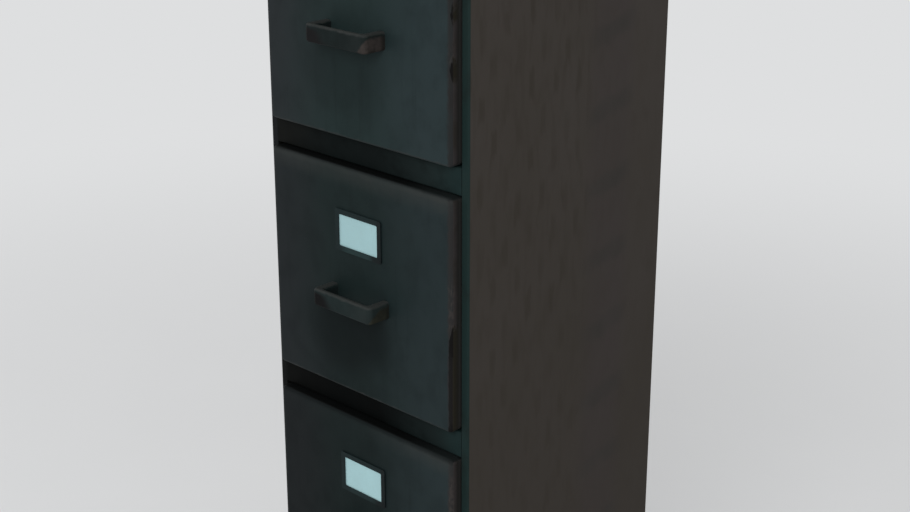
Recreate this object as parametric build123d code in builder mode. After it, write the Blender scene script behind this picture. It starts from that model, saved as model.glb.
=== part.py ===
# Upright steel office cabinet with four drawers on roller slides.
# Millimetres, +Z up, and the drawers face -Y. The origin is on the floor,
# under the middle of the cabinet measured over its handles.
import os

from build123d import *

# Case
case_width = 318.0
case_depth = 330.0
sheet = 1.0
base_height = 97.7
top_skirt = 34.5
top_edge = 2.0
case_corner = 2.5
stile_width = 10.8
stile_edge = 1.4
stile_return = 14.0
rear_flange = 12.0
rail_height = 31.4
rail_depth = 18.0
rail_bend = 2.0
rib_place = 70.0
rib_width = 40.0
rib_depth = 4.0
rib_bend = 2.0

# Base pan and glides
glide_height = 8.0
glide_diameter = 34.0
glide_top_diameter = 24.0
glide_inset = 28.0
stem_diameter = 8.0
stem_clearance = 0.4
stem_above_pan = 14.0
nut_across_flats = 13.0
nut_height = 6.5
pan_height = 42.0
pan_flange = 22.0

# Drawer fronts
drawer_count = 4
front_height = 272.0
front_proud = 11.5
front_inset = 9.0
front_rail_gap = 0.8
front_stile_gap = 3.0
front_corner = 6.0
front_edge = 3.5
front_lip = 10.0

# Drawer trays
tray_lift = 12.0
tray_height = 215.0
tray_bend = 2.5
tray_rear_gap = 22.0
hem_width = 6.0
hem_drop = 5.0
inner_front_margin = 2.0
back_height = 170.0
back_flange = 14.0

# Handle
handle_length = 95.0
handle_reach = 30.0
handle_drop = 153.0
handle_bend = 6.0
handle_inner_bend = 4.0
handle_edge = 3.0
bar_height = 20.5
bar_thickness = 7.0
arm_thickness = 10.5

# Handle screws
screw_diameter = 4.0
screw_head_diameter = 8.0
screw_head_height = 2.6
screw_grip = 12.0
screw_clearance = 0.3
thread_clearance = 0.1

# Label holder and card
window_width = 62.5
window_height = 37.5
window_drop = 57.0
window_corner = 1.5
label_border = 6.0
label_corner = 2.5
label_plate = 0.8
label_slot = 1.0
label_rim = 1.2
card_thickness = 0.4
card_play = 0.3
card_drop = 2.0

# Posts and roller slides
post_depth = 13.0
post_width = 24.0
post_inset = 13.0
slide_gauge = 1.2
slide_bend = 2.0
slide_setback = 4.0
channel_reach = 10.8
slide_side_gap = 1.2
channel_lift = 20.0
channel_play = 0.6
runner_foot = 12.0
roller_diameter = 16.0
roller_width = 7.0
roller_edge = 0.6
roller_setback = 10.0
roller_side_gap = 1.4
roller_float = 0.5
running_gap = 0.3
pin_diameter = 5.0
pin_fit = 0.05
pin_head_diameter = 8.0
pin_head_thickness = 0.8

# Places worked out from the sizes above
half_width = case_width / 2
inner_x = half_width - sheet
stile_x = half_width - stile_width
front_y = (front_proud + handle_reach - case_depth) / 2
back_y = front_y + case_depth
face_y = front_y - front_proud
front_pitch = front_height + rail_height + 2 * front_rail_gap
front_width = 2 * (stile_x - front_stile_gap)
screw_span = handle_length - arm_thickness
opening_top = base_height + drawer_count * front_pitch - rail_height - front_rail_gap
case_height = opening_top + top_skirt
cap_seat_z = case_height - top_edge
wall_y = front_y + front_inset
tray_front_y = wall_y + sheet
tray_end_y = back_y - 2 * sheet - tray_rear_gap

post_x = inner_x - post_depth
channel_x = post_x - slide_gauge
channel_tip_x = post_x - channel_reach
runner_x = channel_tip_x - slide_side_gap
tray_x = runner_x - slide_gauge
pan_front_y = front_y + rail_depth + sheet
pan_back_y = back_y - 2 * sheet - rib_depth - sheet
channel_start_y = pan_front_y + slide_setback
channel_end_y = pan_back_y - post_inset
case_roller_y = channel_start_y + roller_setback
tail_roller_y = tray_end_y - roller_setback
roller_radius = roller_diameter / 2


def front_bottom(number):
    return base_height + (drawer_count - number) * front_pitch


def save(piece, name):
    piece.part.label = name
    export_step(piece.part, f"parts/{name}.step")


# A folded sheet's section: a bent line and the sheet's thickness to one side of it
def folded_section(points, bend, gauge, side):
    with BuildLine() as outline:
        FilletPolyline(*points, radius=bend)
        offset(amount=gauge, side=side)
    make_face(outline.edges())


# Plane square to Y through the given y, looked at from the front
def front_plane(y):
    return Plane.XZ.offset(-y)


# Side panels: skin, front stile with its return, and rear flange in one folded sheet
def make_side_panels():
    with BuildPart() as right:
        with BuildSketch(Plane.XY.offset(glide_height)):
            folded_section(
                [
                    (stile_x, front_y + stile_return),
                    (stile_x, front_y),
                    (half_width, front_y),
                    (half_width, back_y),
                    (half_width - rear_flange, back_y),
                ],
                [stile_edge, case_corner, case_corner],
                sheet,
                Side.LEFT,
            )
        extrude(amount=opening_top - glide_height)
    with BuildPart() as left:
        mirror(right.part, about=Plane.YZ)
    save(right, "side_panel_right")
    save(left, "side_panel_left")


# Back panel with two pressed ribs, seated inside the rear flanges
def make_back_panel():
    seat_y = back_y - sheet
    edge_x = inner_x - case_corner
    slope = rib_depth
    points = [(-edge_x, seat_y)]
    for place in (-rib_place, rib_place):
        points += [
            (place - rib_width / 2, seat_y),
            (place - rib_width / 2 + slope, seat_y - rib_depth),
            (place + rib_width / 2 - slope, seat_y - rib_depth),
            (place + rib_width / 2, seat_y),
        ]
    points.append((edge_x, seat_y))
    with BuildPart() as back:
        with BuildSketch(Plane.XY.offset(glide_height)):
            folded_section(points, rib_bend, sheet, Side.RIGHT)
        extrude(amount=cap_seat_z - glide_height)
    save(back, "back_panel")


# Top cap: a shallow pan with its skirt flush with the case, and a lip over the top drawer
def make_top_panel():
    with BuildPart() as top:
        with BuildSketch(Plane.XY.offset(opening_top)):
            with Locations((0, (front_y + back_y) / 2)):
                RectangleRounded(case_width, case_depth, case_corner)
        extrude(amount=top_skirt)
        fillet(top.faces().sort_by(Axis.Z)[-1].edges(), top_edge)
        offset(amount=-sheet, openings=top.faces().sort_by(Axis.Z)[0])
        with BuildSketch(Plane.XY.offset(opening_top)):
            with Locations((0, front_y + sheet / 2)):
                Rectangle(2 * stile_x, rail_depth, align=(Align.CENTER, Align.MIN))
        extrude(amount=sheet)
    save(top, "top_panel")


# Front rails: channels between the stiles, flush with them
def make_rail(name, low_z, high_z):
    with BuildPart() as rail:
        with BuildSketch(Plane.YZ):
            folded_section(
                [
                    (front_y + rail_depth, high_z),
                    (front_y, high_z),
                    (front_y, low_z),
                    (front_y + rail_depth, low_z),
                ],
                rail_bend,
                sheet,
                Side.LEFT,
            )
        extrude(amount=stile_x, both=True)
    save(rail, name)


def make_rails():
    make_rail("base_rail", glide_height, base_height - front_rail_gap)
    for number in range(1, drawer_count):
        high_z = front_bottom(number) - front_rail_gap
        make_rail(f"cross_rail_{number}", high_z - rail_height, high_z)


glide_x = inner_x - glide_inset
glide_span_y = pan_back_y - pan_front_y - 2 * glide_inset
pan_middle_y = (pan_front_y + pan_back_y) / 2


# Base pan: an inverted tray between the side panels, drilled for the glides
def make_base_pan():
    with BuildPart() as pan:
        with BuildSketch(Plane.XY.offset(pan_height - pan_flange)):
            with Locations((0, pan_middle_y)):
                Rectangle(2 * inner_x, pan_back_y - pan_front_y)
        extrude(amount=pan_flange)
        offset(amount=-sheet, openings=pan.faces().sort_by(Axis.Z)[0])
        with BuildSketch(Plane.XY.offset(pan_height)):
            with Locations((0, pan_middle_y)):
                with GridLocations(2 * glide_x, glide_span_y, 2, 2):
                    Circle(stem_diameter / 2 + stem_clearance)
        extrude(amount=-sheet, mode=Mode.SUBTRACT)
    save(pan, "base_pan")


# Glides: foot, threaded stem and the nut that bears on the underside of the pan
def make_glides():
    nut_z = pan_height - sheet - nut_height
    with BuildPart() as glides:
        with Locations((0, pan_middle_y, 0)):
            with GridLocations(2 * glide_x, glide_span_y, 2, 2):
                Cone(
                    glide_diameter / 2,
                    glide_top_diameter / 2,
                    glide_height,
                    align=(Align.CENTER, Align.CENTER, Align.MIN),
                )
                Cylinder(
                    stem_diameter / 2,
                    pan_height + stem_above_pan,
                    align=(Align.CENTER, Align.CENTER, Align.MIN),
                )
        with BuildSketch(Plane.XY.offset(nut_z)):
            with Locations((0, pan_middle_y)):
                with GridLocations(2 * glide_x, glide_span_y, 2, 2):
                    RegularPolygon(nut_across_flats / 2, 6, major_radius=False)
        extrude(amount=nut_height)
    save(glides, "glides")


# Posts: channels that stand on the base pan and carry the slides and the cap
def make_posts():
    places = {"front": pan_front_y, "rear": channel_end_y - post_width}
    for place, low_y in places.items():
        with BuildPart() as right:
            with BuildSketch(Plane.XY.offset(pan_height)):
                folded_section(
                    [
                        (inner_x, low_y + post_width),
                        (post_x, low_y + post_width),
                        (post_x, low_y),
                        (inner_x, low_y),
                    ],
                    slide_bend,
                    slide_gauge,
                    Side.LEFT,
                )
            extrude(amount=cap_seat_z - pan_height)
        with BuildPart() as left:
            mirror(right.part, about=Plane.YZ)
        save(right, f"post_{place}_right")
        save(left, f"post_{place}_left")


# Heights within one slide, measured from the bottom edge of the drawer front
channel_floor = channel_lift
case_roller_z = channel_floor + roller_float + roller_radius
tail_roller_z = channel_floor + running_gap + roller_radius
flange_top = channel_floor + roller_float + roller_diameter + running_gap + slide_gauge
channel_roof = flange_top + channel_play


# A headed pin along X that grows from a web's face, inward or outward
def roller_pin(web_x, direction, y, z):
    length = roller_side_gap + roller_width + running_gap
    with BuildSketch(Plane.YZ.offset(web_x)) as shank:
        with Locations((y, z)):
            Circle(pin_diameter / 2)
    extrude(shank.sketch, amount=direction * length)
    with BuildSketch(Plane.YZ.offset(web_x + direction * length)) as head:
        with Locations((y, z)):
            Circle(pin_head_diameter / 2)
    extrude(head.sketch, amount=direction * pin_head_thickness)


# Case members: channels on the posts, each with the pin of its front roller
def make_slide_channels(number):
    bottom = front_bottom(number)
    low_z = bottom + channel_floor - slide_gauge
    high_z = bottom + channel_roof + slide_gauge
    with BuildPart() as channels:
        with BuildSketch(front_plane(channel_end_y)):
            folded_section(
                [(channel_tip_x, low_z), (post_x, low_z), (post_x, high_z), (channel_tip_x, high_z)],
                slide_bend,
                slide_gauge,
                Side.LEFT,
            )
        extrude(amount=channel_end_y - channel_start_y)
        roller_pin(channel_x, -1, case_roller_y, bottom + case_roller_z)
        mirror(about=Plane.YZ)
    save(channels, f"slide_channels_{number}")


# Drawer members: runners under the tray's corners, each with the pin of its rear roller
def make_runners(number):
    bottom = front_bottom(number)
    floor_z = bottom + tray_lift
    flange_z = bottom + flange_top
    flange_tip_x = channel_x - running_gap
    with BuildPart() as runners:
        with BuildSketch(front_plane(tray_end_y)):
            folded_section(
                [
                    (tray_x - runner_foot, floor_z),
                    (tray_x, floor_z),
                    (tray_x, flange_z),
                    (flange_tip_x, flange_z),
                ],
                slide_bend,
                slide_gauge,
                Side.RIGHT,
            )
        extrude(amount=tray_end_y - tray_front_y)
        roller_pin(runner_x, 1, tail_roller_y, bottom + tail_roller_z)
        mirror(about=Plane.YZ)
    save(runners, f"drawer_{number}_runners")


# A pair of rollers on one axis, left and right of the drawer
def make_rollers(name, low_x, y, z):
    with BuildPart() as rollers:
        with BuildSketch(Plane.YZ.offset(low_x)):
            with Locations((y, z)):
                Circle(roller_radius)
        extrude(amount=roller_width)
        chamfer(rollers.edges().filter_by(GeomType.CIRCLE), roller_edge)
        with BuildSketch(Plane.YZ.offset(low_x)):
            with Locations((y, z)):
                Circle(pin_diameter / 2 + pin_fit)
        extrude(amount=roller_width, mode=Mode.SUBTRACT)
        mirror(about=Plane.YZ)
    save(rollers, name)


# Drawer front: a pressed pan with rounded edges, returned at the back to take the tray
def make_front(number, handle_z):
    middle_z = front_bottom(number) + front_height / 2
    with BuildPart() as front:
        with BuildSketch(front_plane(wall_y)):
            with Locations((0, middle_z)):
                RectangleRounded(front_width, front_height, front_corner)
        extrude(amount=front_inset + front_proud)
        fillet(front.faces().sort_by(Axis.Y)[0].edges(), front_edge)
        offset(amount=-sheet, openings=front.faces().sort_by(Axis.Y)[-1])
        with BuildSketch(front_plane(wall_y)):
            with Locations((0, middle_z)):
                RectangleRounded(front_width, front_height, front_corner)
                Rectangle(
                    front_width - 2 * front_lip,
                    front_height - 2 * front_lip,
                    mode=Mode.SUBTRACT,
                )
        extrude(amount=sheet)
        with BuildSketch(front_plane(face_y)):
            with Locations((0, handle_z)):
                with GridLocations(screw_span, 0, 2, 1):
                    Circle(screw_diameter / 2 + screw_clearance)
        extrude(amount=-sheet, mode=Mode.SUBTRACT)
    save(front, f"drawer_{number}_front")


# Tray: floor and hemmed sides in one folded sheet, with the inner front that closes the pan
def make_tray(number):
    floor_z = front_bottom(number) + tray_lift
    rim_z = floor_z + tray_height - sheet
    hem_x = tray_x + hem_width
    wall_low_z = front_bottom(number) + inner_front_margin
    wall_width = front_width - 2 * inner_front_margin
    with BuildPart() as tray:
        with BuildSketch(front_plane(tray_end_y)):
            folded_section(
                [
                    (-hem_x, rim_z - hem_drop),
                    (-hem_x, rim_z),
                    (-tray_x, rim_z),
                    (-tray_x, floor_z),
                    (tray_x, floor_z),
                    (tray_x, rim_z),
                    (hem_x, rim_z),
                    (hem_x, rim_z - hem_drop),
                ],
                tray_bend,
                sheet,
                Side.LEFT,
            )
        extrude(amount=tray_end_y - wall_y)
        with BuildSketch(front_plane(wall_y)):
            with Locations((0, wall_low_z)):
                Rectangle(
                    wall_width,
                    front_height - 2 * inner_front_margin,
                    align=(Align.CENTER, Align.MIN),
                )
        extrude(amount=-sheet)
    save(tray, f"drawer_{number}_tray")


# Drawer back: a flanged plate between the tray's sides
def make_drawer_back(number):
    floor_z = front_bottom(number) + tray_lift
    side_x = tray_x - sheet
    with BuildPart() as back:
        with BuildSketch(Plane.XY.offset(floor_z + tray_bend)):
            folded_section(
                [
                    (side_x, tray_end_y - back_flange),
                    (side_x, tray_end_y),
                    (-side_x, tray_end_y),
                    (-side_x, tray_end_y - back_flange),
                ],
                tray_bend,
                sheet,
                Side.LEFT,
            )
        extrude(amount=back_height)
    save(back, f"drawer_{number}_back")


# Handle: a bar carried on two arms, bent sharply and rounded all along its edges
def make_handle(number, handle_z):
    bar_y = face_y - handle_reach
    end_x = handle_length / 2
    gap_x = end_x - arm_thickness
    gap_y = bar_y + bar_thickness
    with BuildPart() as handle:
        with BuildSketch(Plane.XY.offset(handle_z)):
            with BuildLine():
                FilletPolyline(
                    (-end_x, face_y),
                    (-end_x, bar_y),
                    (end_x, bar_y),
                    (end_x, face_y),
                    radius=handle_bend,
                )
                Line((end_x, face_y), (-end_x, face_y))
            make_face()
            with BuildLine():
                FilletPolyline(
                    (-gap_x, face_y),
                    (-gap_x, gap_y),
                    (gap_x, gap_y),
                    (gap_x, face_y),
                    radius=handle_inner_bend,
                )
                Line((gap_x, face_y), (-gap_x, face_y))
            make_face(mode=Mode.SUBTRACT)
        extrude(amount=bar_height / 2, both=True)
        foot_edges = handle.faces().group_by(Axis.Y)[-1].edges()
        long_edges = handle.edges().filter_by(Axis.Z, reverse=True)
        fillet(long_edges - foot_edges, handle_edge)
        with BuildSketch(front_plane(face_y)):
            with Locations((0, handle_z)):
                with GridLocations(screw_span, 0, 2, 1):
                    Circle(screw_diameter / 2 + thread_clearance)
        extrude(amount=screw_grip + screw_clearance, mode=Mode.SUBTRACT)
    save(handle, f"drawer_{number}_handle")


# Handle screws: pan heads inside the front pan, shanks through its face into the arms
def make_handle_screws(number, handle_z):
    head_y = face_y + sheet
    with BuildPart() as screws:
        with BuildSketch(front_plane(head_y)):
            with Locations((0, handle_z)):
                with GridLocations(screw_span, 0, 2, 1):
                    Circle(screw_head_diameter / 2)
        extrude(amount=-screw_head_height)
        with BuildSketch(front_plane(head_y)):
            with Locations((0, handle_z)):
                with GridLocations(screw_span, 0, 2, 1):
                    Circle(screw_diameter / 2)
        extrude(amount=sheet + screw_grip)
    save(screws, f"drawer_{number}_handle_screws")


# Label holder: a bordered plate on a three-sided rim, open at the top for the card
def make_label_frame(number, window_z):
    plate_width = window_width + 2 * label_border
    plate_height = window_height + 2 * label_border
    plate_low_z = window_z - plate_height / 2
    with BuildPart() as frame:
        with BuildSketch(front_plane(face_y)):
            with Locations((0, window_z)):
                RectangleRounded(plate_width, plate_height, label_corner)
        extrude(amount=label_slot + label_plate)
        with BuildSketch(front_plane(face_y)):
            with Locations((0, plate_low_z + label_rim)):
                Rectangle(
                    plate_width - 2 * label_rim,
                    plate_height,
                    align=(Align.CENTER, Align.MIN),
                )
        extrude(amount=label_slot, mode=Mode.SUBTRACT)
        with BuildSketch(front_plane(face_y)):
            with Locations((0, window_z)):
                RectangleRounded(window_width, window_height, window_corner)
        extrude(amount=label_slot + label_plate, mode=Mode.SUBTRACT)
    save(frame, f"drawer_{number}_label_frame")


# Label card: a blank card that stands on the holder's rim
def make_label_card(number, window_z):
    card_low_z = window_z - window_height / 2 - label_border + label_rim
    with BuildPart() as card:
        with BuildSketch(front_plane(face_y)):
            with Locations((0, card_low_z)):
                Rectangle(
                    window_width + 2 * (label_border - label_rim - card_play),
                    window_height + 2 * label_border - label_rim - card_drop,
                    align=(Align.CENTER, Align.MIN),
                )
        extrude(amount=card_thickness)
    save(card, f"drawer_{number}_label_card")


def make_drawer(number):
    bottom = front_bottom(number)
    handle_z = bottom + front_height - handle_drop
    window_z = bottom + front_height - window_drop - window_height / 2
    make_front(number, handle_z)
    make_tray(number)
    make_drawer_back(number)
    make_handle(number, handle_z)
    make_handle_screws(number, handle_z)
    make_label_frame(number, window_z)
    make_label_card(number, window_z)
    make_runners(number)
    make_slide_channels(number)
    case_roller_x = channel_x - roller_side_gap - roller_width
    tail_roller_x = runner_x + roller_side_gap
    make_rollers(f"front_rollers_{number}", case_roller_x, case_roller_y, bottom + case_roller_z)
    make_rollers(f"drawer_{number}_tail_rollers", tail_roller_x, tail_roller_y, bottom + tail_roller_z)


os.makedirs("parts", exist_ok=True)
make_side_panels()
make_back_panel()
make_top_panel()
make_rails()
make_base_pan()
make_glides()
make_posts()
for drawer in range(1, drawer_count + 1):
    make_drawer(drawer)
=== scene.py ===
import math

import bpy
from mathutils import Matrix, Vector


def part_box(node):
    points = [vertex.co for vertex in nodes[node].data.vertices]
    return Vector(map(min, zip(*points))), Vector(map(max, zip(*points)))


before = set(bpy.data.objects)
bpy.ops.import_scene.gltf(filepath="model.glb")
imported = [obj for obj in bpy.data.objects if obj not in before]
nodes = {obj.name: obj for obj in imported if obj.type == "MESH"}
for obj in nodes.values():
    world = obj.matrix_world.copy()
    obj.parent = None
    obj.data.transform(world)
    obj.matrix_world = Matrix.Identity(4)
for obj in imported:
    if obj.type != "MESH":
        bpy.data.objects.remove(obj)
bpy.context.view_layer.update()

scene = bpy.context.scene
drawers = [number for number in range(1, len(nodes)) if f"drawer_{number}_front" in nodes]
print("frame loaded:", len(nodes), "pieces,", len(drawers), "drawers")


def ink(colour, tone=1.0):  # an sRGB colour from 0 to 255 as linear light, made lighter or darker by tone
    linear = []
    for value in colour:
        value = value / 255
        linear.append(tone * (value / 12.92 if value < 0.04045 else ((value + 0.055) / 1.055) ** 2.4))
    return (*linear, 1.0)


def ofDrawer(table, number):  # a drawer that isn't in the table takes the last one's value
    return table.get(number, table[max(table)])


class Wire:  # a socket that can stand in a sum
    def __init__(self, graph, socket):
        self.graph = graph
        self.socket = socket

    def maths(self, operation, *values):
        return self.graph.node("ShaderNodeMath", {"operation": operation}, dict(enumerate(values)))

    def __add__(self, other):
        return self.maths("ADD", self, other)

    def __radd__(self, other):
        return self.maths("ADD", other, self)

    def __sub__(self, other):
        return self.maths("SUBTRACT", self, other)

    def __rsub__(self, other):
        return self.maths("SUBTRACT", other, self)

    def __mul__(self, other):
        return self.maths("MULTIPLY", self, other)

    def __rmul__(self, other):
        return self.maths("MULTIPLY", other, self)

    def __truediv__(self, other):
        return self.maths("DIVIDE", self, other)

    def __pow__(self, other):
        return self.maths("POWER", self, other)

    def least(self, other):
        return self.maths("MINIMUM", self, other)

    def most(self, other):
        return self.maths("MAXIMUM", self, other)

    def whole(self):
        return self.maths("FLOOR", self)

    def wave(self):
        return self.maths("SINE", self)

    def sway(self, width):  # noise from 0 to 1 as a shift to both sides
        return (self - 0.5) * width

    def share(self, start, end):  # 0 at start and 1 at end
        return (self - start) / (end - start)


class Graph:  # the nodes of one material or of the world
    def __init__(self, owner):
        owner.use_nodes = True
        self.tree = owner.node_tree
        self.tree.nodes.clear()

    def node(self, kind, settings, sockets, out=0):
        made = self.tree.nodes.new(kind)
        for key, value in settings.items():
            setattr(made, key, value)
        for key, value in sockets.items():
            if isinstance(value, Wire):
                self.tree.links.new(value.socket, made.inputs[key])
            else:
                made.inputs[key].default_value = value
        return Wire(self, made.outputs[out]) if made.outputs else None

    def seen(self):  # 1 for rays that show the backdrop, 0 for those that only light the cabinet
        camera, glossy, clear = [self.node("ShaderNodeLightPath", {}, {}, f"Is {kind} Ray")
                                 for kind in ("Camera", "Glossy", "Transmission")]
        return camera.most(glossy).most(clear)


class Finish(Graph):  # one material, with the place on the cabinet in metres as x, y and z
    def __init__(self, name):
        self.material = bpy.data.materials.new(name)
        super().__init__(self.material)
        self.place = self.node("ShaderNodeTexCoord", {}, {}, "Object")
        parts = [self.node("ShaderNodeSeparateXYZ", {}, {0: self.place}, axis) for axis in "XYZ"]
        self.x, self.y, self.z = parts

    def vector(self, operation, first, second, out=0):
        return self.node("ShaderNodeVectorMath", {"operation": operation}, {0: first, 1: second}, out)

    def along(self, first, second):  # how far one vector goes along another
        return self.vector("DOT_PRODUCT", first, second, "Value")

    def facing(self):
        return self.node("ShaderNodeNewGeometry", {}, {}, "Normal")

    def noise(self, perMetre, detail=4.0, rough=0.55):  # lumps per metre along x, y and z
        spread = self.vector("MULTIPLY", self.place, perMetre)
        return self.node("ShaderNodeTexNoise", {},
                         {"Vector": spread, "Scale": 1.0, "Detail": detail, "Roughness": rough})

    def chance(self, value):  # a number from 0 to 1, the same for the same value
        return self.node("ShaderNodeTexWhiteNoise", {"noise_dimensions": "1D"}, {"W": value})

    def step(self, value, start, end):  # 0 up to start, 1 past end
        return self.node("ShaderNodeMapRange", {"interpolation_type": "SMOOTHSTEP"},
                         {"Value": value, "From Min": start, "From Max": end})

    def blend(self, amount, first, second):  # 6, 7 and 2 are Mix's sockets for colours
        return self.node("ShaderNodeMix", {"data_type": "RGBA"}, {0: amount, 6: first, 7: second}, 2)

    def corner(self, radius):  # how far a surface turns away within radius, from 0 on the flat
        eased = self.node("ShaderNodeBevel", {"samples": 6}, {"Radius": radius})
        return 1 - self.along(eased, self.facing())

    def close(self, look, colour, roughness, height, metal=0.0):  # height 1 stands proud by look's relief
        bump = self.node("ShaderNodeBump", {},
                         {"Height": height, "Distance": look["relief"], "Strength": 1.0})
        shader = self.node("ShaderNodeBsdfPrincipled", {}, {
            "Base Color": colour, "Roughness": roughness, "Metallic": metal,
            "Specular IOR Level": look["gloss"], "Normal": bump})
        self.node("ShaderNodeOutputMaterial", {}, {"Surface": shader})
        return self.material


def wear(piece, material):
    slots = nodes[piece].data.materials
    slots.clear()
    slots.append(material)


# lengths are in metres, and pairs such as toRight say where a change starts and where it is complete
frontLook = {
    # painted light and shade: the left colour is the shaded grey, the middle and right the cyan-lit
    # blue-green
    "left": (33, 37, 39), "middle": (27, 38, 38), "right": (36, 46, 48),
    "toMiddle": (0.0, 0.42), "toRight": (0.5, 0.95),  # shares of the width
    # painted light and shade: how much lighter or darker each front is drawn at its left, middle and right
    "tones": {1: (1.12, 1.2, 1.08), 2: (0.87, 0.8, 0.84), 3: (0.6, 0.62, 0.9), 4: (0.72, 0.74, 0.82)},
    "grime": (9, 14, 15), "blotches": 0.2, "streaks": 0.16,
    # painted shadow with hand grime under and round the handle: its reach to the sides and up and down, its
    # place from the handle, and its strength
    "shadowReach": (0.07, 0.055), "shadowPlace": (-0.02, -0.03), "shadowTop": (0.02, -0.012),
    "handShadowAndGrime": {1: 0.3, 2: 0.75, 3: 0.6, 4: 0.5},
    "footReach": 0.06, "footFrom": (0.1, 0.3), "footTo": (0.75, 0.5),
    "footGrime": {1: 0.0, 2: 0.3, 3: 0.2, 4: 0.3},
    # paint rubbed thin in a band along the edges, with a ragged border
    "worn": (47, 50, 49), "specks": 0.3, "band": 0.008, "drift": 0.006, "rubToRight": (0.45, 0.95),
    # how far each top edge is rubbed at its left and its right, and the depth of its brim, drawn dark as
    # painted shade on the round with some dirt
    "topWear": {1: (0.5, 0.8, 0.004), 2: (0.62, 0.85, 0.004), 3: (0.05, 0.7, 0.008), 4: (0.3, 0.7, 0.006)},
    "brimShadeAndDirt": 0.75, "brimEnd": 0.0004,
    # bare grey along the right edge
    "rightWorn": {1: (35, 34, 34), 2: (39, 38, 38), 3: (40, 39, 39), 4: (38, 37, 37)},
    # the returned sides and the ledge on top, by their depth under the skin and back from the face; the sides
    # darken as painted shade back from the face and are drawn lighter again deep in the gap as a painted lift
    # against its shadow, and the ledge is drawn dark as painted shade
    "side": (48, 45, 45), "sideRust": 0.5, "sideShade": (32, 32, 31), "sideGapLift": (44, 44, 43),
    "sideSkin": (0.0013, 0.0004), "sideStart": (0.0016, 0.003),
    "shadeStart": (0.004, 0.0115), "gapStart": (0.0095, 0.012),
    "shadedLedge": (10, 11, 11), "shadedLedgeRight": (25, 29, 29), "ledgeToRight": (0.7, 1.0),
    "ledgeSkin": (0.0014, 0.0005), "ledgeStart": (0.0008, 0.002),
    # lengths of the right edge, above the front's lower edge, where pale primer shows in flecks
    "fleck": (60, 55, 53), "fleckStrength": 0.55, "fleckSkin": (0.0075, 0.003), "fleckFade": (0.004, 0.01),
    "flecks": {1: (0.112, 0.13), 2: (0.122, 0.178), 3: (0.2, 0.25), 4: (0.06, 0.12)},
    # lengths of it that are worn through, how ragged they are at the start, the end and the side
    "bare": (24, 23, 23), "rust": (35, 33, 27), "rustStart": (0.0012, 0.0026), "chipShade": 0.8,
    "pit": (15, 14, 14), "pitReach": (0.013, 0.008), "pitStart": (0.0034, 0.0016), "pitStrength": 0.85,
    "chipSlope": 0.32, "chipDepth": (-0.012, 0.0048), "chipSpill": 0.004, "chipRagged": (0.02, 0.03, 0.004),
    "chips": {1: [(0.098, 0.113), (0.159, 0.167)], 2: [(-0.02, 0.124)], 3: [(0.032, 0.062)],
              4: [(0.192, 0.227)]},
    "roughness": 0.5, "gloss": 0.05, "relief": 0.0016,
}


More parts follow.
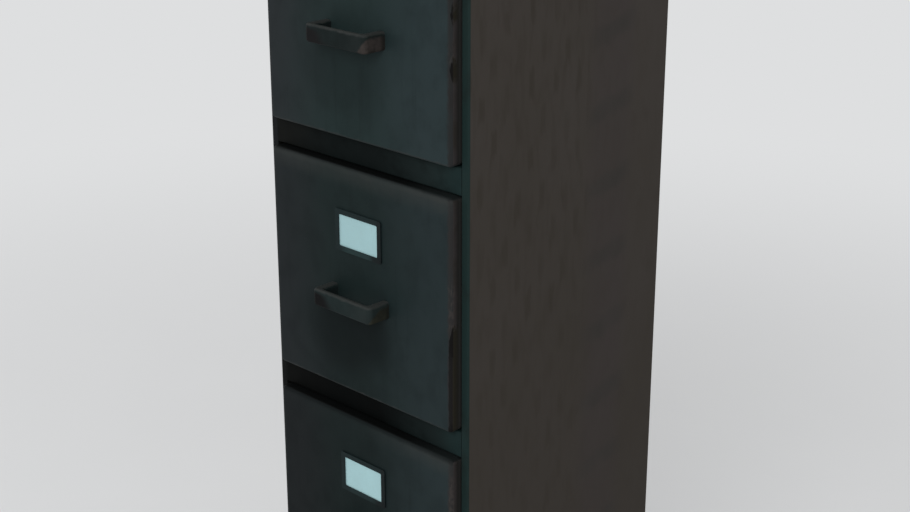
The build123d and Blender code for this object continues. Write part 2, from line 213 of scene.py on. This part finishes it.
def paintFront(number, look):
    finish = Finish(f"front_paint_{number}")
    step, blend = finish.step, finish.blend
    lo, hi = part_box(f"drawer_{number}_front")
    handleLo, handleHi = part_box(f"drawer_{number}_handle")
    grime, wornPaint = ink(look["grime"]), ink(look["worn"])
    cloud = finish.noise((9, 9, 7))
    mottle = finish.noise((40, 40, 32))
    speck = finish.noise((520, 520, 520), 2)
    streak = finish.noise((110, 110, 6), 2)
    ragged = finish.noise((130, 130, 130)) - 0.5
    jagged = finish.noise((420, 420, 160)) - 0.5
    patchy = step(finish.noise((22, 22, 22), 3), 0.35, 0.6)
    # how far in from each edge, and back from the face
    left, right = finish.x - lo.x, hi.x - finish.x
    low, top = finish.z - lo.z, hi.z - finish.z
    depth = finish.y - lo.y

    # painted light and shade: the enamel is drawn darker and grey on the left, where shade falls, and lighter
    # blue-green on the right, where the cyan light falls
    leftTone, middleTone, rightTone = ofDrawer(look["tones"], number)
    across = finish.x.share(lo.x, hi.x) + cloud.sway(0.3)
    colour = ink(look["left"], leftTone)
    colour = blend(step(across, *look["toMiddle"]), colour, ink(look["middle"], middleTone))
    colour = blend(step(across, *look["toRight"]), colour, ink(look["right"], rightTone))
    colour = blend(step(mottle, 0.42, 0.72) * look["blotches"], colour, grime)
    colour = blend(step(streak, 0.56, 0.78) * look["streaks"], colour, grime)
    colour = blend(step(speck, 0.62, 0.72) * look["specks"], colour, wornPaint)

    # dirt along the foot of the front, and painted shadow with hand grime under and round the handle
    foot = step(low + cloud.sway(look["footReach"]), look["footReach"], 0.0)
    foot = foot * step(across, *look["footFrom"]) * step(across, *look["footTo"])
    colour = blend(foot * ofDrawer(look["footGrime"], number), colour, grime)
    wide, tall = look["shadowReach"]
    shift, drop = look["shadowPlace"]
    above = finish.z - handleLo.z
    aside = (finish.x - (handleLo.x + handleHi.x) / 2 - shift) / wide
    below = (above - drop) / tall
    uneven = cloud.sway(1.6) + mottle.sway(0.8)
    shadowAndGrime = step(aside * aside + below * below + uneven, 1.6, 0.0)
    shadowAndGrime = shadowAndGrime * step(above, *look["shadowTop"]) * ofDrawer(look["handShadowAndGrime"], number)
    colour = blend(shadowAndGrime, colour, grime)

    # paint rubbed thin along the edges, most at the top and the right
    band, drift = look["band"], ragged * look["drift"]
    leftRub, rightRub, brim = ofDrawer(look["topWear"], number)
    worn = step(top + drift, band * 1.5, band * 0.8)
    worn = worn.most(step(top + drift, band * 3.4, band) * 0.7)
    worn = worn * (leftRub + step(across, *look["rubToRight"]) * (rightRub - leftRub))
    worn = worn.most(step(left + drift, band * 0.8, band * 0.25) * 0.4)
    worn = worn.most(step(low + drift, band * 0.5, band * 0.2) * 0.6)
    worn = worn * (0.7 + patchy * 0.3)
    colour = blend(worn, colour, wornPaint)
    bared = step(right + drift, band * 1.05, band * 0.4) * (0.75 + patchy * 0.25)
    colour = blend(bared * (1 - worn * 0.5), colour, ink(ofDrawer(look["rightWorn"], number)))
    # painted shade with some dirt: the round of the top edge is darkened
    shadedBrim = step(top + ragged * 0.002, brim, look["brimEnd"])
    colour = blend(shadedBrim * look["brimShadeAndDirt"], colour, grime)

    # returned sides, drawn darker as painted shade where they run in behind the frame and lighter again deep
    # in the gap, and the ledge on top drawn dark as painted shade
    sides = step(right.least(left), *look["sideSkin"]) * step(depth, *look["sideStart"])
    sideColour = blend(step(mottle, 0.45, 0.68) * look["sideRust"], ink(look["side"]), ink(look["rust"]))
    shade = step(depth + ragged * 0.003, *look["shadeStart"])
    sideColour = blend(shade, sideColour, ink(look["sideShade"]))
    behind = step(depth, *look["gapStart"])
    sideColour = blend(behind, sideColour, ink(look["sideGapLift"]))
    colour = blend(sides, colour, sideColour)
    shadedLedge = step(top + ragged * 0.001, *look["ledgeSkin"]) * step(depth, *look["ledgeStart"])
    shadedLedgeColour = blend(step(across, *look["ledgeToRight"]), ink(look["shadedLedge"]), ink(look["shadedLedgeRight"]))
    colour = blend(shadedLedge * (0.8 + mottle * 0.2), colour, shadedLedgeColour)

    # flecks of pale primer on the round of the right edge
    first, last = ofDrawer(look["flecks"], number)
    firstFade, lastFade = look["fleckFade"]
    length = step(low, first - firstFade, first + firstFade) * step(low, last + lastFade, last - lastFade)
    flecked = length * step(right + depth + ragged * 0.012, *look["fleckSkin"])
    flecked = flecked * step(ragged + jagged, -0.12, 0.14)
    colour = blend(flecked * look["fleckStrength"], colour, ink(look["fleck"]))

    # lengths where the right edge is worn through: grey on its round, olive rust on its side, dark at the tip
    chipped, pitted = 0.0, 0.0
    startRagged, endRagged, sideRagged = look["chipRagged"]
    shallow, deep = look["chipDepth"]
    inward = right - depth + jagged * sideRagged
    for start, end in ofDrawer(look["chips"], number):
        fromStart = low - start + look["chipSpill"] + jagged * startRagged
        reach = (end - low + jagged * endRagged).least(fromStart) * look["chipSlope"]
        inside = step(reach, -0.002, 0.001)
        chipped = inside * step(inward - reach.least(deep).most(shallow), 0.0006, -0.0006) + chipped
        pitted = inside * step(reach + ragged * 0.006, *look["pitReach"]) + pitted
    chipColour = blend(step(depth + ragged * 0.001, *look["rustStart"]), ink(look["bare"]), ink(look["rust"]))
    # the painted shade and the painted lift of the sides carry over the worn-through lengths
    chipColour = blend(shade * look["chipShade"], chipColour, ink(look["sideShade"]))
    chipColour = blend(behind, chipColour, ink(look["sideGapLift"]))
    pitted = pitted * step(depth, *look["pitStart"]) * look["pitStrength"]
    chipColour = blend(pitted, chipColour, ink(look["pit"]))
    colour = blend(chipped, colour, chipColour)

    roughness = look["roughness"] + mottle * 0.14 + chipped * 0.2 - worn * 0.08 + shadowAndGrime * 0.06
    height = 0.5 + cloud * 0.5 + speck * 0.02 - chipped * 0.12 - worn * ragged * 0.1
    return finish.close(look, colour, roughness, height)


for number in drawers:
    wear(f"drawer_{number}_front", paintFront(number, frontLook))
print("drawer fronts painted")


frameLook = {
    # painted shade: dark at the left and middle and lighter to the right, deepened on each rail by its tone
    "left": (17, 18, 17), "middle": (12, 17, 17), "right": (28, 37, 37), "end": (26, 39, 39),
    "toMiddle": (0.0, 0.35), "toRight": (0.5, 1.02), "toEnd": (0.86, 1.0),  # shares of the length
    "tones": {"cross_rail_1": 1.0, "cross_rail_2": 0.49, "cross_rail_3": 0.9, "base_rail": 1.25},
    "grime": (5, 6, 6), "blotches": 0.3, "worn": (32, 36, 36), "rub": 0.6, "specks": 0.3, "edge": 0.0012,
    "roughness": 0.55, "gloss": 0.03, "relief": 0.0008,
}


def paintRail(piece, look):
    finish = Finish(f"frame_paint_{piece}")
    step, blend = finish.step, finish.blend
    lo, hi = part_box(piece)
    wornPaint = ink(look["worn"])
    cloud = finish.noise((12, 12, 12))
    mottle = finish.noise((60, 60, 60))
    speck = finish.noise((520, 520, 520), 2)
    # painted shade: each rail is drawn dark at the left and middle, where the drawer above shades it, and
    # lighter to the right; a rail's tone shows most in its middle and least at its right
    tone = look["tones"].get(piece, 1.0)
    across = finish.x.share(lo.x, hi.x) + cloud.sway(0.2)
    colour = ink(look["left"], tone)
    colour = blend(step(across, *look["toMiddle"]), colour, ink(look["middle"], tone * tone))
    colour = blend(step(across, *look["toRight"]), colour, ink(look["right"], 0.6 + tone * 0.4))
    colour = blend(step(across, *look["toEnd"]), colour, ink(look["end"]))
    colour = blend(step(mottle, 0.45, 0.75) * look["blotches"], colour, ink(look["grime"]))
    rubbed = step(finish.corner(look["edge"]) + mottle.sway(0.12), 0.06, 0.2)
    colour = blend(rubbed * look["rub"], colour, wornPaint)
    colour = blend(step(speck, 0.64, 0.74) * look["specks"], colour, wornPaint)
    roughness = look["roughness"] + mottle * 0.15 - rubbed * 0.1
    return finish.close(look, colour, roughness, cloud + speck * 0.05 - rubbed * 0.1)


for piece in nodes:
    if piece.startswith("cross_rail") or piece == "base_rail":
        wear(piece, paintRail(piece, frameLook))
print("rails painted")


caseLook = {
    # painted light: the warm grey-brown colours carry the tint of the warm light on the sides
    "paint": (57, 53, 49), "pale": (59, 55, 52), "dash": (49, 45, 40), "blotches": 0.2,
    # lumps per metre of the streaks, their strength at the front and the back, and the heights
    # between which the paint darkens downwards
    "streaks": (120, 120, 26), "streakStrength": (0.26, 0.1), "lowShade": (1.2, 0.6), "lowStrength": 0.5,
    # how far apart the dashes stand, sideways and upwards, the faintest and the strongest, and their
    # half width and half length as squared shares of the pitch
    "dashPitch": (0.0195, 0.0835), "dashStrength": (0.25, 0.75), "dashSeed": 37.0,
    "dashWidth": (0.1, 0.0), "dashLength": (0.06, 0.004), "dashFade": 0.02, "flankSkin": (0.0012, 0.0005),
    # from where to where the smudges lie in their ruddier band, how far apart, the lowest, and their slope
    "smudge": (45, 45, 43), "blush": (54, 49, 50),
    "smudgeBand": (0.035, 0.135), "smudgeFade": (0.035, 0.03),
    "smudgePitch": 0.088, "smudgeStart": 0.028, "smudgeSlope": 0.21, "smudgeCrest": (0.45, 1.0),
    # the stiles, the left one drawn dark as painted shade and lighter at the top as painted light
    "shadedLeftStile": (19, 21, 23), "shadedLeftStileLow": (9, 10, 10), "stile": (24, 39, 38),
    "stileStart": (0.0026, 0.0012), "stileLight": (0.7, 0.98), "toRightStile": (-0.1, 0.1),
    "stileGrime": 0.35, "stileGrimeTone": 0.3,
    "worn": (62, 60, 56), "rub": 0.45, "specks": 0.18, "edge": 0.0016,
    "dust": (64, 62, 60), "dustStrength": 0.6, "topSkin": (0.0012, 0.0004),
    "scuff": (82, 79, 75), "scuffStrength": 0.55, "scratches": 0.5, "brim": (0.006, 0.0005),
    "rust": (52, 38, 27), "rustStrength": 0.7, "rustReach": 0.03,
    # painted shade for the faces inside the case
    "inside": (13, 14, 14),
    "roughness": 0.58, "gloss": 0.06, "relief": 0.0014,
}


def paintCase(look):
    finish = Finish("side_paint")
    step, blend = finish.step, finish.blend
    lo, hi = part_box("side_panel_right")
    topLo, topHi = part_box("top_panel")
    dashPaint, wornPaint = ink(look["dash"]), ink(look["worn"])
    cloud = finish.noise((6, 6, 4))
    mottle = finish.noise((45, 45, 30))
    speck = finish.noise((600, 600, 600), 2)
    streaks = finish.noise(look["streaks"], 1.5, 0.4)

    # grey-brown paint, streaked upwards; its warm tint is painted light, the warm light that falls on the
    # sides
    start, end = look["smudgeBand"]
    strong, faint = look["streakStrength"]
    colour = blend(step(cloud, 0.3, 0.7), ink(look["paint"]), ink(look["pale"]))
    streaked = step(streaks, 0.5, 0.66) * (strong - step(finish.y, start, end) * (strong - faint))
    colour = blend(streaked, colour, dashPaint)
    colour = blend(step(mottle, 0.5, 0.75) * look["blotches"], colour, dashPaint)
    shaded = step(finish.z + cloud.sway(0.4), *look["lowShade"])
    colour = blend(shaded * look["lowStrength"], colour, dashPaint)

    # short upright dashes on the sides, staggered like bricks
    apart, rise = look["dashPitch"]
    faint, strong = look["dashStrength"]
    sideways = finish.y / apart + streaks.sway(0.5)
    column = sideways.whole()
    upwards = finish.z / rise + column * 0.5 + finish.chance(column) * 0.3 + streaks.sway(0.4)
    row = upwards.whole()
    luck = finish.chance(column * look["dashSeed"] + row)  # each dash has its own
    sideways, upwards = sideways - column - 0.5, upwards - row - 0.5  # from the middle of the dash
    dash = step(sideways * sideways, *look["dashWidth"]) * step(upwards * upwards, *look["dashLength"])
    flank = step(finish.x * finish.x, *[(hi.x - skin) ** 2 for skin in look["flankSkin"]])
    dash = dash * (faint + luck * (strong - faint)) * flank
    colour = blend(dash * step(finish.y, start + look["dashFade"], start), colour, dashPaint)

    # faint slanting smudges, one above the other, in a ruddier band towards the back of the sides
    startFade, endFade = look["smudgeFade"]
    band = step(finish.y, start, start + startFade) * step(finish.y, end, end - endFade)
    colour = blend(band * (0.1 + cloud * 0.5), colour, ink(look["blush"]))
    slant = finish.z - finish.y * look["smudgeSlope"] + mottle.sway(0.02) - look["smudgeStart"]
    slant = slant * (2 * math.pi / look["smudgePitch"])
    smudge = step(slant.wave(), *look["smudgeCrest"]) * band
    colour = blend(smudge * (0.1 + mottle * 0.55), colour, ink(look["smudge"]))

    # the front of the same sheet wears the frame's colour, the left stile drawn darker as painted shade and
    # lighter towards the top
    stile = step(finish.y - lo.y, *look["stileStart"])
    litTop = step(finish.z + cloud.sway(0.2), *look["stileLight"])
    shadedLeftStile = blend(litTop, ink(look["shadedLeftStileLow"]), ink(look["shadedLeftStile"]))
    stileColour = blend(step(finish.x, *look["toRightStile"]), shadedLeftStile, ink(look["stile"]))
    colour = blend(stile * (0.85 + cloud * 0.3).least(1.0), colour, stileColour)
    stileGrime = stile * step(mottle, 0.5, 0.75) * look["stileGrime"]
    colour = blend(stileGrime, colour, ink(look["smudge"], look["stileGrimeTone"]))

    # bright rubbed corners, dust and scuffs on the top, rust creeping up from the floor
    rubbed = step(finish.corner(look["edge"]) + mottle.sway(0.14), 0.07, 0.24)
    colour = blend(rubbed * look["rub"], colour, wornPaint)
    onTop = step(finish.z, *[topHi.z - skin for skin in look["topSkin"]])
    dust = onTop * step(mottle + cloud * 0.6, 0.55, 1.0)
    colour = blend(dust * look["dustStrength"], colour, ink(look["dust"]))
    lengthways = step(finish.noise((260, 16, 40), 3), 0.6, 0.68)
    crossways = step(finish.noise((14, 240, 40), 3), 0.63, 0.7)
    brim = (finish.x - topLo.x).least(topHi.x - finish.x)
    brim = brim.least(finish.y - topLo.y).least(topHi.y - finish.y) + mottle.sway(0.012)
    scratches = lengthways.most(crossways) * look["scratches"]
    scuff = onTop * scratches.most(step(brim, *look["brim"]))
    colour = blend(scuff * look["scuffStrength"], colour, ink(look["scuff"]))
    rust = step(finish.z - lo.z + mottle.sway(0.06), look["rustReach"], 0.0)
    colour = blend(rust * look["rustStrength"], colour, ink(look["rust"]))
    colour = blend(step(speck, 0.64, 0.74) * look["specks"], colour, wornPaint)

    # painted shade: faces that look into the case are drawn near-black, standing for the shade inside it
    middle = (topLo + topHi) / 2
    outward = finish.vector("SUBTRACT", finish.place, (middle.x, middle.y, topHi.z / 2))
    inside = step(finish.along(outward, finish.facing()), 0.0, -0.01)
    colour = blend(inside * (0.8 + mottle * 0.2), colour, ink(look["inside"]))

    roughness = look["roughness"] + mottle * 0.14 + dust * 0.15 - rubbed * 0.08
    return finish.close(look, colour, roughness, cloud * 0.9 + streaks * 0.1 + speck * 0.03)


casePaint = paintCase(caseLook)
for piece in ("side_panel_left", "side_panel_right", "back_panel", "top_panel"):
    wear(piece, casePaint)
print("case painted")


handleLook = {
    "enamel": (26, 36, 36), "dull": 0.88, "bright": 1.08,
    "tones": {1: 0.55, 2: 0.92, 3: 0.8, 4: 0.86},
    "worn": (50, 52, 51), "edge": 0.002, "edgeRub": 0.4, "topRub": 0.85, "rightLight": 0.18, "specks": 0.3,
    "barTop": (0.84, 0.99), "barUnder": (0.9, 0.66), "lightToRight": (0.5, 0.95),  # shares of the bar
    # how far the bared metal reaches along the bar from its left and its right, and how it slants
    "leftReach": 0.033, "rightReach": {1: 0.014, 2: 0.005, 3: 0.006, 4: 0.008},
    "leftSlant": 0.012, "rightSlant": (0.018, 0.6), "leftFade": 0.45, "rightFade": 0.003,
    "leftStrength": 0.95, "rightStrength": 0.9, "armStart": (0.003, 0.008), "armPaint": 0.55,
    # the metal bared at each handle's left and right bend
    "ends": {1: ((20, 19, 20), (54, 49, 47)), 2: ((12, 11, 12), (40, 40, 33)),
             3: ((15, 14, 15), (34, 33, 28)), 4: ((13, 13, 13), (40, 38, 34))},
    "grime": (12, 13, 13), "pit": (24, 24, 21), "footStart": (0.008, 0.002), "footGrime": 0.75,
    "roughness": 0.46, "gloss": 0.06, "relief": 0.0004,
}


def paintHandle(number, look):
    finish = Finish(f"handle_metal_{number}")
    step, blend = finish.step, finish.blend
    lo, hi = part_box(f"drawer_{number}_handle")
    tone = ofDrawer(look["tones"], number)
    wornPaint, pit = ink(look["worn"]), ink(look["pit"])
    mottle = finish.noise((150, 150, 150))
    speck = finish.noise((700, 700, 700), 2)
    cloud = finish.noise((45, 45, 45), 3)
    up, back = finish.z.share(lo.z, hi.z), finish.y - lo.y
    dull, bright = [ink(look["enamel"], look[shine] * tone) for shine in ("dull", "bright")]
    colour = blend(step(cloud, 0.35, 0.65), dull, bright)

    # rubbed bright on top and along the edges, and painted light: drawn lighter towards the right, where the
    # light falls
    rubbed = step(finish.corner(look["edge"]) + mottle.sway(0.2), 0.05, 0.22) * look["edgeRub"]
    rubbed = rubbed.most(step(up + mottle.sway(0.2), *look["barTop"]) * look["topRub"])
    colour = blend(rubbed, colour, wornPaint)
    across = finish.x.share(lo.x, hi.x) + cloud.sway(0.3)
    colour = blend(step(across, *look["lightToRight"]) * look["rightLight"] * tone, colour, wornPaint)

    # worn to bare metal at both bends: dark at the left and olive at the right
    leftReach, rightReach = look["leftReach"], ofDrawer(look["rightReach"], number)
    upSlant, backSlant = look["rightSlant"]
    fromLeft = finish.x - lo.x + up.sway(look["leftSlant"]) + mottle.sway(0.01)
    leftEnd = step(fromLeft, leftReach, leftReach * look["leftFade"])
    leftEnd = leftEnd * (1 - step(back, *look["armStart"]) * look["armPaint"])
    fromRight = hi.x - finish.x + (up * upSlant - back * backSlant) + mottle.sway(0.004)
    rightEnd = step(fromRight, rightReach, rightReach - look["rightFade"])
    under = step(up + mottle.sway(0.3), *look["barUnder"])
    leftMetal, rightMetal = ofDrawer(look["ends"], number)
    leftColour = blend(step(mottle, 0.5, 0.7) * 0.5, ink(leftMetal), ink(look["grime"]))
    rightColour = blend(step(cloud + mottle * 0.5, 0.72, 0.95) * 0.6, ink(rightMetal), pit)
    # painted shade with dirt at the arms' feet, where they meet the front
    foot = step(hi.y - finish.y + mottle.sway(0.006), *look["footStart"])
    rightColour = blend(foot * look["footGrime"], rightColour, pit)
    bare = (1 - rubbed * 0.5) * under
    colour = blend(leftEnd * bare * look["leftStrength"], colour, leftColour)
    colour = blend(rightEnd * bare * look["rightStrength"], colour, rightColour)
    colour = blend(step(speck, 0.64, 0.74) * look["specks"], colour, wornPaint)

    ends = leftEnd.most(rightEnd) * under
    roughness = look["roughness"] + mottle * 0.2 + ends * 0.12 - rubbed * 0.1
    return finish.close(look, colour, roughness, mottle * 0.6 + speck * 0.1 - ends * 0.3)


for number in drawers:
    wear(f"drawer_{number}_handle", paintHandle(number, handleLook))
print("handles painted")


labelLook = {
    "frame": (19, 31, 32), "lip": (30, 47, 47), "dark": (13, 18, 19), "worn": (28, 40, 41),
    # how clean thumbs keep each lower lip, and how deep the painted shade is in its right corner and along
    # the right border
    "lips": {1: 0.5, 2: 0.9, 3: 0.35, 4: 0.6}, "cornerShade": 0.7, "borderShade": 0.65,
    "blotches": 0.35, "rub": 0.2, "edge": 0.0008,
    "roughness": 0.45, "gloss": 0.1, "relief": 0.0002,
}


def paintLabelFrame(number, look):
    finish = Finish(f"label_frame_{number}")
    step, blend = finish.step, finish.blend
    lo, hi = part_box(f"drawer_{number}_label_frame")
    dark = ink(look["dark"])
    mottle = finish.noise((220, 220, 220))
    cloud = finish.noise((60, 60, 60), 3)
    up, across = finish.z.share(lo.z, hi.z), finish.x.share(lo.x, hi.x)
    # a pale lower lip, and painted shade in its right corner and along the right border
    lip = step(up + mottle.sway(0.1), 0.2, 0.08) * step(across, 0.1, 0.25)
    clean = lip * step(across + mottle.sway(0.1), 0.86, 0.7) * ofDrawer(look["lips"], number)
    colour = blend(clean, ink(look["frame"]), ink(look["lip"]))
    colour = blend(lip * step(across, 0.76, 0.84) * look["cornerShade"], colour, dark)
    border = step(across + mottle.sway(0.03), 0.9, 0.935)
    colour = blend(border * look["borderShade"], colour, dark)
    colour = blend(step(cloud, 0.5, 0.7) * look["blotches"], colour, dark)
    rubbed = step(finish.corner(look["edge"]) + mottle.sway(0.2), 0.06, 0.25)
    colour = blend(rubbed * look["rub"], colour, ink(look["worn"]))
    return finish.close(look, colour, look["roughness"] + mottle * 0.2, mottle)


cardLook = {
    # painted light: the white card is drawn cyan-tinted, the tint of the light that falls on the fronts
    "cyanLitPaper": (156, 190, 194), "shade": (150, 182, 186), "stain": (152, 178, 176),
    "tones": {1: 1.0, 2: 0.94, 3: 1.03, 4: 0.97}, "clouds": 0.5, "stains": 0.4,
    "roughness": 0.82, "gloss": 0.2, "relief": 0.0001,
}


def paintCard(number, look):
    finish = Finish(f"label_card_{number}")
    step, blend = finish.step, finish.blend
    tone = ofDrawer(look["tones"], number)
    cyanLitPaper, shade, stain = [ink(look[part], tone) for part in ("cyanLitPaper", "shade", "stain")]
    fibre = finish.noise((900, 900, 300), 3)
    cloud = finish.noise((40, 40, 30), 3)
    colour = blend(step(cloud, 0.3, 0.7) * look["clouds"], cyanLitPaper, shade)
    colour = blend(step(fibre, 0.5, 0.8) * look["stains"], colour, stain)
    return finish.close(look, colour, look["roughness"] + fibre * 0.1, fibre)


for number in drawers:
    wear(f"drawer_{number}_label_frame", paintLabelFrame(number, labelLook))
    wear(f"drawer_{number}_label_card", paintCard(number, cardLook))
print("labels finished")


innerLook = {
    "primer": (39, 44, 44), "pale": (46, 51, 50), "grime": (25, 27, 26), "blotches": 0.5,
    "scratch": (72, 74, 72), "scratches": 0.5, "bare": (84, 84, 81), "rub": 0.7, "edge": 0.0012,
    "rust": (54, 41, 31), "rustStrength": 0.6,
    "roughness": 0.5, "gloss": 0.12, "metal": 0.4, "relief": 0.0008,
}


def paintInner(look):
    finish = Finish("inner_steel")
    step, blend = finish.step, finish.blend
    cloud = finish.noise((10, 10, 10))
    mottle = finish.noise((70, 70, 70))
    speck = finish.noise((600, 600, 600), 2)
    drag = finish.noise((260, 9, 260), 2)  # scratches run the way the drawer slides
    colour = blend(step(cloud, 0.35, 0.65), ink(look["primer"]), ink(look["pale"]))
    colour = blend(step(mottle, 0.45, 0.72) * look["blotches"], colour, ink(look["grime"]))
    colour = blend(step(drag, 0.62, 0.72) * look["scratches"], colour, ink(look["scratch"]))
    rubbed = step(finish.corner(look["edge"]) + mottle.sway(0.2), 0.08, 0.3)
    colour = blend(rubbed * look["rub"], colour, ink(look["bare"]))
    rust = step(mottle + cloud * 0.5, 0.86, 0.98)
    colour = blend(rust * look["rustStrength"], colour, ink(look["rust"]))
    roughness = look["roughness"] + mottle * 0.2 - rubbed * 0.1
    height = cloud + speck * 0.04 - drag * 0.05
    return finish.close(look, colour, roughness, height, rubbed * look["metal"])


innerPaint = paintInner(innerLook)
for piece in nodes:
    if piece == "base_pan" or piece.startswith("post_") or piece.endswith(("_tray", "_back")):
        wear(piece, innerPaint)
print("inside painted")


slideLook = {
    "zinc": (108, 108, 104), "dull": (93, 93, 90), "bright": (138, 138, 135), "lines": 0.5,
    "rub": 0.6, "edge": 0.001, "oil": (48, 45, 40), "oilStrength": 0.75,
    "roughness": 0.34, "gloss": 0.5, "metal": 0.85, "relief": 0.0002,
}


def plateSlides(look):
    finish = Finish("slide_steel")
    step, blend = finish.step, finish.blend
    bright = ink(look["bright"])
    cloud = finish.noise((30, 14, 30))
    spangle = finish.noise((180, 180, 180), 1)
    rolled = finish.noise((700, 5, 700), 2)
    colour = blend(step(spangle, 0.42, 0.58), ink(look["dull"]), ink(look["zinc"]))
    colour = blend(step(rolled, 0.5, 0.7) * look["lines"], colour, bright)
    oil = step(cloud, 0.48, 0.7)
    colour = blend(oil * look["oilStrength"], colour, ink(look["oil"]))
    rubbed = step(finish.corner(look["edge"]), 0.08, 0.3)
    colour = blend(rubbed * look["rub"], colour, bright)
    roughness = look["roughness"] + spangle * 0.2 + oil * 0.12
    return finish.close(look, colour, roughness, rolled * 0.4 + spangle * 0.3, look["metal"] - oil * 0.5)


slideSteel = plateSlides(slideLook)
for piece in nodes:
    if piece.startswith("slide_channels") or piece.endswith(("_runners", "_handle_screws")):
        wear(piece, slideSteel)
print("slides plated")


rollerLook = {
    "body": (172, 167, 153), "scuff": (92, 84, 70), "dirt": 0.7,
    "roughness": 0.42, "gloss": 0.4, "relief": 0.0002,
}
glideLook = {
    "body": (22, 22, 22), "scuff": (52, 51, 49), "dirt": 0.8,
    "roughness": 0.42, "gloss": 0.4, "relief": 0.0002,
}


def mouldPlastic(name, look):
    finish = Finish(name)
    mottle = finish.noise((240, 240, 240))
    speck = finish.noise((900, 900, 900), 2)
    dirt = finish.step(mottle + speck.sway(0.3), 0.45, 0.72)
    colour = finish.blend(dirt * look["dirt"], ink(look["body"]), ink(look["scuff"]))
    return finish.close(look, colour, look["roughness"] + dirt * 0.25, mottle * 0.5 + speck * 0.2)


nylon = mouldPlastic("nylon", rollerLook)
for piece in nodes:
    if "rollers" in piece:
        wear(piece, nylon)
wear("glides", mouldPlastic("glide_plastic", glideLook))
print("plastics moulded")


floorLook = {
    "colour": (224, 225, 226), "grain": 0.015, "roughness": 0.9, "gloss": 0.1,
    "reach": 12.0, "sides": 64, "height": -0.0004,
    "fade": (1.2, 3.6),  # how far off the floor runs out into the backdrop
}
studioLook = {
    "backdrop": (222, 223, 224), "ambient": 0.72, "aim": (0.0, 0.0, 0.8),
    "lamps": {
        "key_lamp": {"power": 57.0, "size": 1.6, "place": (1.6, -2.8, 2.7)},
        "fill_lamp": {"power": 10.0, "size": 2.0, "place": (-2.6, -1.6, 1.8)},
    },
}


def layFloor(look, backdrop):
    mesh = bpy.data.meshes.new("studio_floor")
    reach, sides = look["reach"], look["sides"]
    turns = [2 * math.pi * side / sides for side in range(sides)]
    ring = [(reach * math.cos(turn), reach * math.sin(turn), look["height"]) for turn in turns]
    mesh.from_pydata(ring, [], [list(range(sides))])
    floor = bpy.data.objects.new("studio_floor", mesh)
    scene.collection.objects.link(floor)
    finish = Finish("studio_floor")
    grain = finish.noise((3, 3, 3), 3)
    darker, lighter = [ink(look["colour"], tone) for tone in (1 - look["grain"], 1 + look["grain"])]
    near = finish.node("ShaderNodeBsdfPrincipled", {}, {
        "Base Color": finish.blend(grain, darker, lighter), "Roughness": look["roughness"],
        "Specular IOR Level": look["gloss"]})
    far = finish.node("ShaderNodeEmission", {}, {"Color": ink(backdrop), "Strength": 1.0})
    away = (finish.x * finish.x + finish.y * finish.y) ** 0.5
    fade = finish.step(away, *look["fade"]) * finish.seen()
    ground = finish.node("ShaderNodeMixShader", {}, {0: fade, 1: near, 2: far})
    finish.node("ShaderNodeOutputMaterial", {}, {"Surface": ground})
    mesh.materials.append(finish.material)


def hangLamp(name, look, target):
    lamp = bpy.data.lights.new(name, "AREA")
    lamp.energy = look["power"]
    lamp.shape = "DISK"
    lamp.size = look["size"]
    item = bpy.data.objects.new(name, lamp)
    item.location = look["place"]
    across, back, up = [here - there for here, there in zip(look["place"], target)]
    tilt, turn = math.atan2(math.hypot(across, back), up), math.atan2(back, across) + math.pi / 2
    item.rotation_euler = (tilt, 0, turn)
    scene.collection.objects.link(item)


def lightStudio(look):
    scene.world = bpy.data.worlds.new("studio")
    sky = Graph(scene.world)
    soft = sky.node("ShaderNodeBackground", {}, {"Color": (1, 1, 1, 1), "Strength": look["ambient"]})
    plain = sky.node("ShaderNodeBackground", {}, {"Color": ink(look["backdrop"]), "Strength": 1.0})
    mixed = sky.node("ShaderNodeMixShader", {}, {0: sky.seen(), 1: soft, 2: plain})
    sky.node("ShaderNodeOutputWorld", {}, {"Surface": mixed})
    for name, lampLook in look["lamps"].items():
        hangLamp(name, lampLook, look["aim"])


layFloor(floorLook, studioLook["backdrop"])
lightStudio(studioLook)
scene.view_settings.view_transform = "Standard"
print("studio lit")


cameraLook = {"place": (1.28152, -1.3176, 1.51641), "down": 20.25, "round": 44.243, "lens": 64.954}

camera = bpy.data.cameras.new("camera")
camera.sensor_fit = "HORIZONTAL"
camera.sensor_width = 36.0
camera.lens = cameraLook["lens"]
camera.clip_end = 60.0
eye = bpy.data.objects.new("camera", camera)
eye.location = cameraLook["place"]
eye.rotation_euler = (math.radians(90 - cameraLook["down"]), 0, math.radians(cameraLook["round"]))
scene.collection.objects.link(eye)
scene.camera = eye
print("camera placed")
